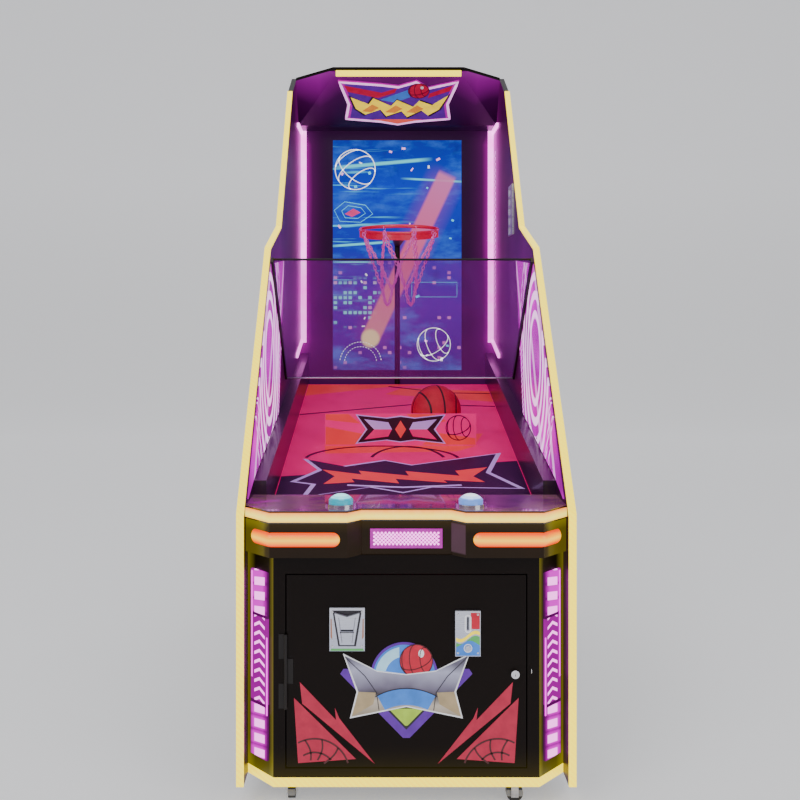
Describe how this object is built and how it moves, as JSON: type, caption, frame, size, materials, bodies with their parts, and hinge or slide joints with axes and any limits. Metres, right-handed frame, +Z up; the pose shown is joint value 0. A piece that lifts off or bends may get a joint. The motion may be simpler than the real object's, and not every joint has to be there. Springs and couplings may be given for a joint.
{
  "type": "arcade basketball machine",
  "caption": "Upright arcade basketball machine: lit cabinet with service door, sloping ball return behind a gate, slanted clear guard, ring with chain net before a tall screen, on swivel casters.",
  "frame": {"origin": "on the floor, under the middle of the machine's footprint", "axes": "+X to the player's right, +Y away from the player, +Z up"},
  "size_m": [0.824, 1.69, 2.12],
  "materials": {
    "black_board": "semi-gloss black laminate over board",
    "purple_wall": "gloss purple laminate over board",
    "edge_glow": "opal light strip, warm yellow white",
    "pink_glow": "opal light strip, pink",
    "orange_glow": "round orange lamp",
    "black_sheet": "black powder coat",
    "perforated_grille": "perforated sheet lit from behind",
    "button_glow": "clear lit button cap",
    "clear_plastic": "tinted clear sheet",
    "printed_mat": "printed mat, crimson and purple",
    "printed_gate": "printed plate",
    "ball_rubber": "pebbled red rubber",
    "screen": "lit picture behind a glossy front",
    "sign_board": "printed cut-out board lit at its edge",
    "ring_paint": "gloss red paint",
    "chain": "plated steel chain",
    "zinc": "zinc plated steel",
    "chrome_trim": "polished",
    "silver_plate": "satin cast plate",
    "black_plastic": "moulded",
    "wheel_tread": "hard rubber"
  },
  "bodies": {
    "root": {"apron": "black_sheet", "back_wall": "purple_wall", "base_board": "black_board", "base_light": "edge_glow", "button_bezels": "chrome_trim", "cash_box": "black_sheet", "caster_plates": "zinc", "column_left": "black_board", "column_lights": "pink_glow", "column_right": "black_board", "corner_lights": "pink_glow", "deck": "black_board", "deck_light": "edge_glow", "display": "screen", "edge_lights": "edge_glow", "front_frame": "black_board", "gate_guides": "zinc", "guard": "clear_plastic", "guard_clips": "black_sheet", "hasp_ring": "zinc", "header": "purple_wall", "header_bar": "edge_glow", "header_sign": "sign_board", "hinge_frame_leaf": "black_sheet", "hoop_guides": "zinc", "mains_inlet": "black_plastic", "play_mat": "printed_mat", "ramp_board": "black_board", "rear_panel": "black_board", "roof": "black_board", "side_panel_left": "black_board", "side_panel_right": "black_board", "side_rails": "black_board", "side_windows": "clear_plastic", "speaker_grille": "perforated_grille", "tube_lights": "orange_glow", "wall_louvre": "silver_plate"},
    "door": {"service_door": "black_board", "hinge_door_leaf": "black_sheet", "lock_body": "chrome_trim", "card_reader": "silver_plate", "coin_plate": "silver_plate"},
    "lock": {"lock_core": "chrome_trim"},
    "coin_return": {"coin_return_button": "silver_plate"},
    "gate": {"ball_gate": "printed_gate"},
    "ball": {"ball": "ball_rubber"},
    "left_button": {"button_left": "button_glow"},
    "right_button": {"button_right": "button_glow"},
    "hoop": {"hoop_carriage": "black_plastic", "hoop_post": "black_sheet", "ring": "ring_paint", "chain_net": "chain"},
    "fork_front_left": {"caster_fork_front_left": "zinc"},
    "wheel_front_left": {"caster_wheel_front_left": "wheel_tread"},
    "fork_front_right": {"caster_fork_front_right": "zinc"},
    "wheel_front_right": {"caster_wheel_front_right": "wheel_tread"},
    "fork_rear_left": {"caster_fork_rear_left": "zinc"},
    "wheel_rear_left": {"caster_wheel_rear_left": "wheel_tread"},
    "fork_rear_right": {"caster_fork_rear_right": "zinc"},
    "wheel_rear_right": {"caster_wheel_rear_right": "wheel_tread"}
  },
  "joints": [
    {"name": "door_swing", "type": "hinge", "parent": "root", "child": "door", "pos_m": [-0.2915, -0.809, 0.34], "axis": [0, 0, -1], "range_deg": [0, 100]},
    {"name": "lock_turn", "type": "hinge", "parent": "door", "child": "lock", "pos_m": [0.263, -0.805, 0.335], "axis": [0, 1, 0], "range_deg": [0, 90]},
    {"name": "coin_return_press", "type": "slide", "parent": "door", "child": "coin_return", "axis": [0, 1, 0], "range_m": [0, 0.003], "stiffness_N_per_m": 300},
    {"name": "gate_drop", "type": "slide", "parent": "root", "child": "gate", "axis": [0, 0, -1], "range_m": [0, 0.1]},
    {"name": "ball_roll", "type": "slide", "parent": "root", "child": "ball", "axis": [0, 0.9803, 0.1976], "range_m": [0, 0.4]},
    {"name": "left_button_press", "type": "slide", "parent": "root", "child": "left_button", "axis": [0, 0, -1], "range_m": [0, 0.004], "stiffness_N_per_m": 900},
    {"name": "right_button_press", "type": "slide", "parent": "root", "child": "right_button", "axis": [0, 0, -1], "range_m": [0, 0.004], "stiffness_N_per_m": 900},
    {"name": "hoop_slide", "type": "slide", "parent": "root", "child": "hoop", "axis": [1, 0, 0], "range_m": [-0.12, 0.12]},
    {"name": "swivel_front_left", "type": "hinge", "parent": "root", "child": "fork_front_left", "pos_m": [-0.283, -0.75, 0.05], "axis": [0, 0, 1], "continuous": true},
    {"name": "roll_front_left", "type": "hinge", "parent": "fork_front_left", "child": "wheel_front_left", "pos_m": [-0.283, -0.736, 0.021], "axis": [1, 0, 0], "continuous": true},
    {"name": "swivel_front_right", "type": "hinge", "parent": "root", "child": "fork_front_right", "pos_m": [0.283, -0.75, 0.05], "axis": [0, 0, 1], "continuous": true},
    {"name": "roll_front_right", "type": "hinge", "parent": "fork_front_right", "child": "wheel_front_right", "pos_m": [0.269, -0.75, 0.021], "axis": [0, 1, 0], "continuous": true},
    {"name": "swivel_rear_left", "type": "hinge", "parent": "root", "child": "fork_rear_left", "pos_m": [-0.283, 0.755, 0.05], "axis": [0, 0, 1], "continuous": true},
    {"name": "roll_rear_left", "type": "hinge", "parent": "fork_rear_left", "child": "wheel_rear_left", "pos_m": [-0.283, 0.769, 0.021], "axis": [1, 0, 0], "continuous": true},
    {"name": "swivel_rear_right", "type": "hinge", "parent": "root", "child": "fork_rear_right", "pos_m": [0.283, 0.755, 0.05], "axis": [0, 0, 1], "continuous": true},
    {"name": "roll_rear_right", "type": "hinge", "parent": "fork_rear_right", "child": "wheel_rear_right", "pos_m": [0.283, 0.769, 0.021], "axis": [1, 0, 0], "continuous": true}
  ]
}
